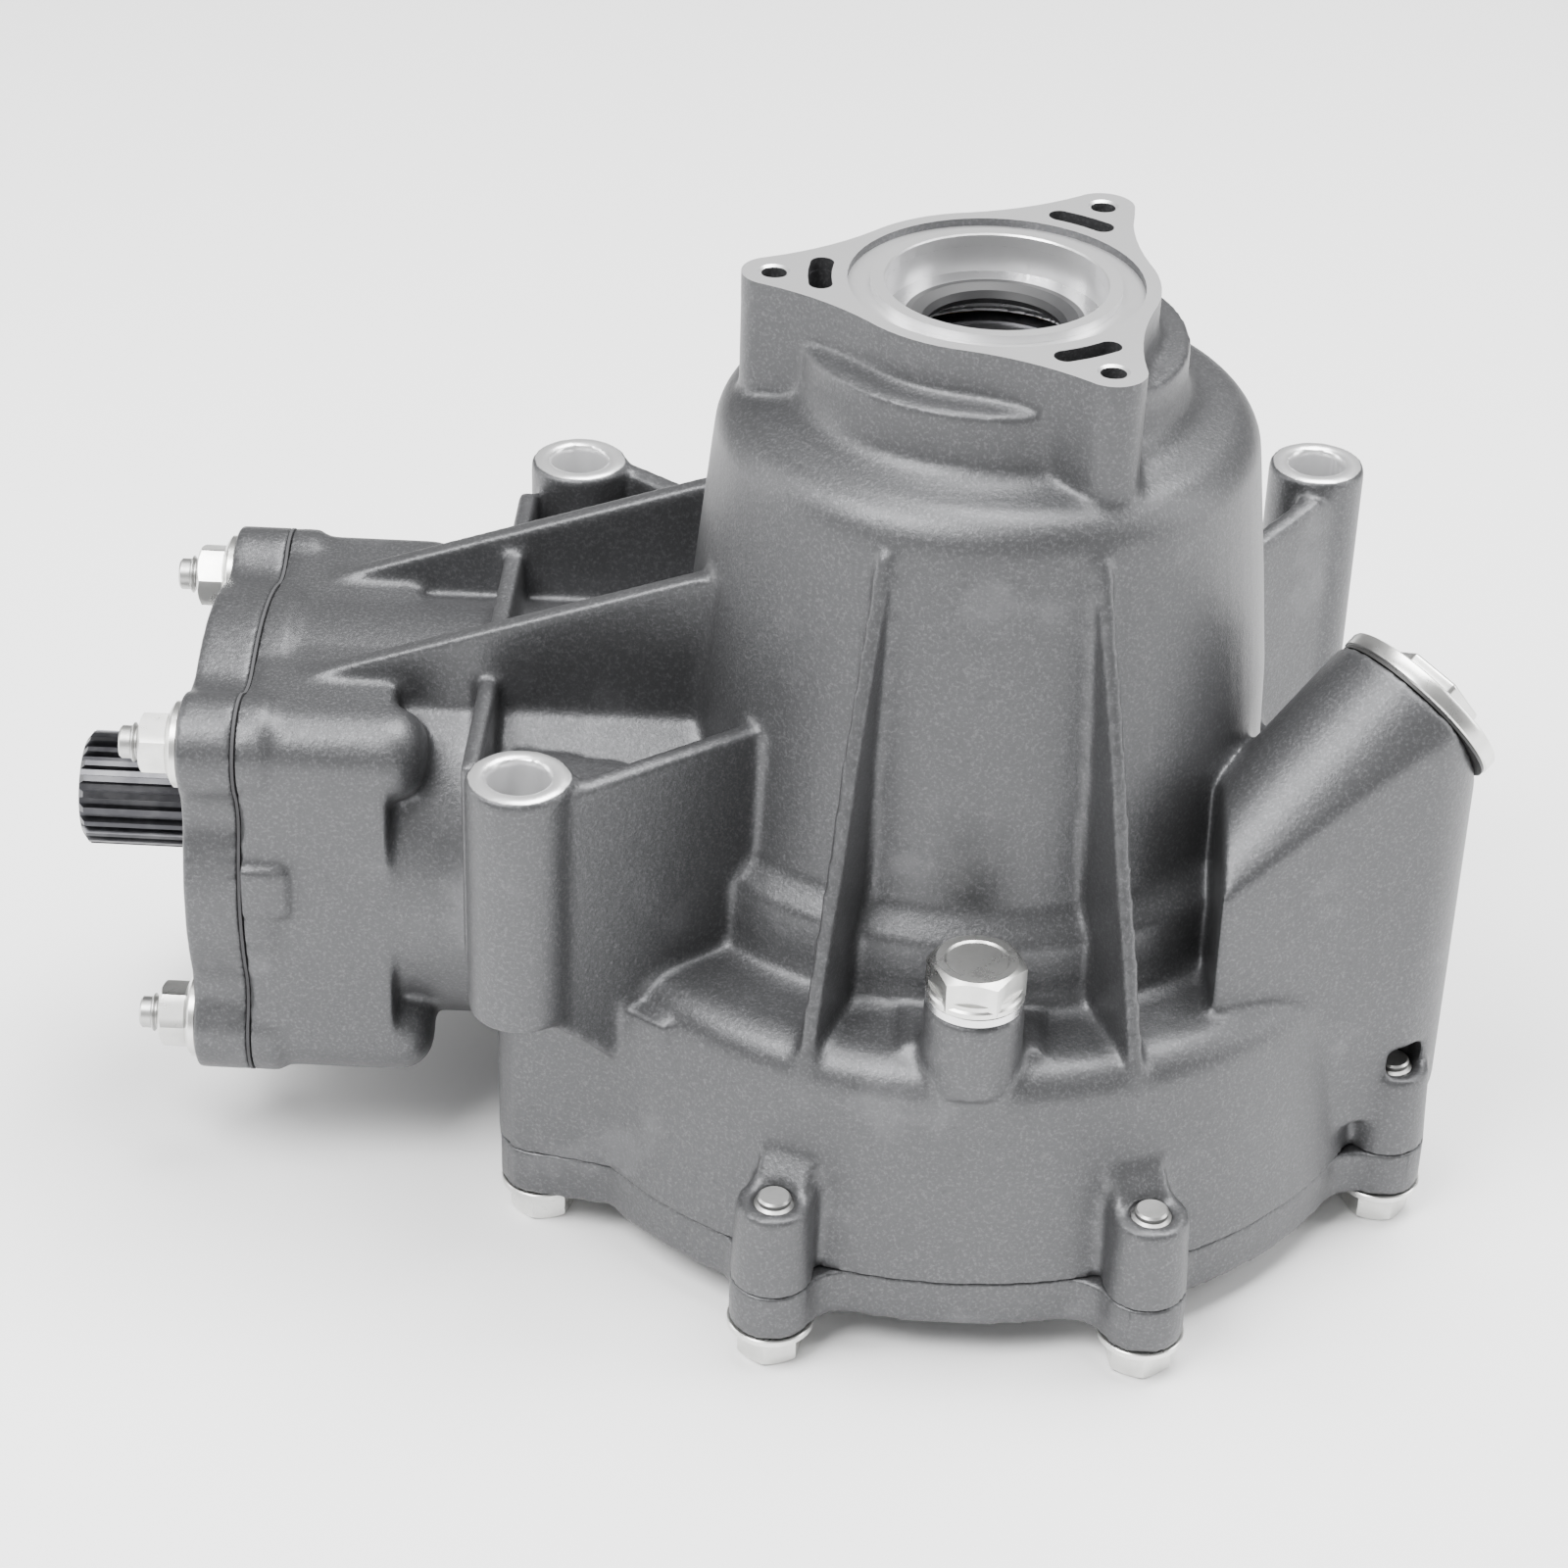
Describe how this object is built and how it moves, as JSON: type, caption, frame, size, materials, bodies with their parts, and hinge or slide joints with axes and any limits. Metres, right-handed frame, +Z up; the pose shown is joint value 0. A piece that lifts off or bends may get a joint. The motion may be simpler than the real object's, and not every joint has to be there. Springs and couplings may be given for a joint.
{
  "type": "front differential",
  "caption": "Front differential gearcase with bevel drive, splined input shaft, three mounting bosses, oil filler neck and flanged axle output.",
  "frame": {"origin": "middle of the machined output flange face, on the axle line", "axes": "+Z up along the axle line out of the output flange, -X along the input shaft, -Y towards the level plug"},
  "size_m": [0.2885, 0.1988, 0.1927],
  "materials": {
    "cast_alloy": "sand cast, blasted",
    "zinc_plate": "zinc plated",
    "oil_rubber": "moulded",
    "soft_washer": "turned",
    "gasket_fibre": "fibre sheet",
    "bronze": "pressed bronze",
    "dark_steel": "hardened, oiled",
    "iron_casting": "machined casting",
    "ground_steel": "ground"
  },
  "bodies": {
    "housing": {"main_housing": "cast_alloy", "side_cover": "cast_alloy", "cover_o_ring": "oil_rubber", "dowel_sleeves": "ground_steel", "cover_bolts": "zinc_plate", "level_plug": "zinc_plate", "level_plug_washer": "soft_washer", "filler_cap": "zinc_plate", "filler_cap_seal": "oil_rubber", "pinion_cover": "cast_alloy", "pinion_gasket": "gasket_fibre", "pinion_studs": "zinc_plate", "pinion_nuts": "zinc_plate", "input_seal": "oil_rubber", "output_seals": "oil_rubber", "carrier_outer_races": "ground_steel", "carrier_shims": "ground_steel", "pinion_outer_races": "ground_steel", "pinion_shim": "ground_steel"},
    "pinion": {"pinion_shaft": "dark_steel", "pinion_inner_races": "ground_steel", "pinion_spacer": "ground_steel", "pinion_snap_ring": "ground_steel"},
    "pinion_cage": {"pinion_balls": "ground_steel", "pinion_cages": "bronze"},
    "carrier": {"crown_wheel": "ground_steel", "crown_wheel_bolts": "dark_steel", "case_body": "iron_casting", "case_cap": "iron_casting", "case_bolts": "dark_steel", "cross_shaft": "ground_steel", "cross_shaft_pin": "dark_steel", "carrier_inner_races": "ground_steel", "side_thrust_washers": "bronze", "spider_thrust_washers": "bronze"},
    "carrier_cage": {"carrier_balls": "ground_steel", "carrier_cages": "bronze"},
    "upper_side": {"upper_side_gear": "ground_steel"},
    "lower_side": {"lower_side_gear": "ground_steel"},
    "front_spider": {"front_spider_gear": "ground_steel"},
    "rear_spider": {"rear_spider_gear": "ground_steel"}
  },
  "joints": [
    {"name": "carrier_spin", "type": "hinge", "parent": "housing", "child": "carrier", "pos_m": [0, 0, -0.1], "axis": [0, 0, 1], "continuous": true},
    {"name": "pinion_spin", "type": "hinge", "parent": "housing", "child": "pinion", "pos_m": [-0.1, 0, -0.126], "axis": [1, 0, 0], "continuous": true},
    {"name": "pinion_cage_spin", "type": "hinge", "parent": "housing", "child": "pinion_cage", "pos_m": [-0.1, 0, -0.126], "axis": [1, 0, 0], "continuous": true},
    {"name": "carrier_cage_spin", "type": "hinge", "parent": "housing", "child": "carrier_cage", "pos_m": [0, 0, -0.1], "axis": [0, 0, 1], "continuous": true},
    {"name": "upper_side_spin", "type": "hinge", "parent": "carrier", "child": "upper_side", "pos_m": [0, 0, -0.072], "axis": [0, 0, 1], "continuous": true},
    {"name": "lower_side_spin", "type": "hinge", "parent": "carrier", "child": "lower_side", "pos_m": [0, 0, -0.072], "axis": [0, 0, 1], "continuous": true},
    {"name": "front_spider_spin", "type": "hinge", "parent": "carrier", "child": "front_spider", "pos_m": [0, 0, -0.072], "axis": [0, 1, 0], "continuous": true},
    {"name": "rear_spider_spin", "type": "hinge", "parent": "carrier", "child": "rear_spider", "pos_m": [0, 0, -0.072], "axis": [0, 1, 0], "continuous": true}
  ],
  "couplings": [
    {"joint": "pinion_spin", "follows": "carrier_spin", "ratio": -3.3},
    {"joint": "pinion_cage_spin", "follows": "carrier_spin", "ratio": -1.2705},
    {"joint": "carrier_cage_spin", "follows": "carrier_spin", "ratio": 0.4165},
    {"joint": "lower_side_spin", "follows": "upper_side_spin", "ratio": -1},
    {"joint": "front_spider_spin", "follows": "upper_side_spin", "ratio": 1.4},
    {"joint": "rear_spider_spin", "follows": "upper_side_spin", "ratio": -1.4}
  ]
}
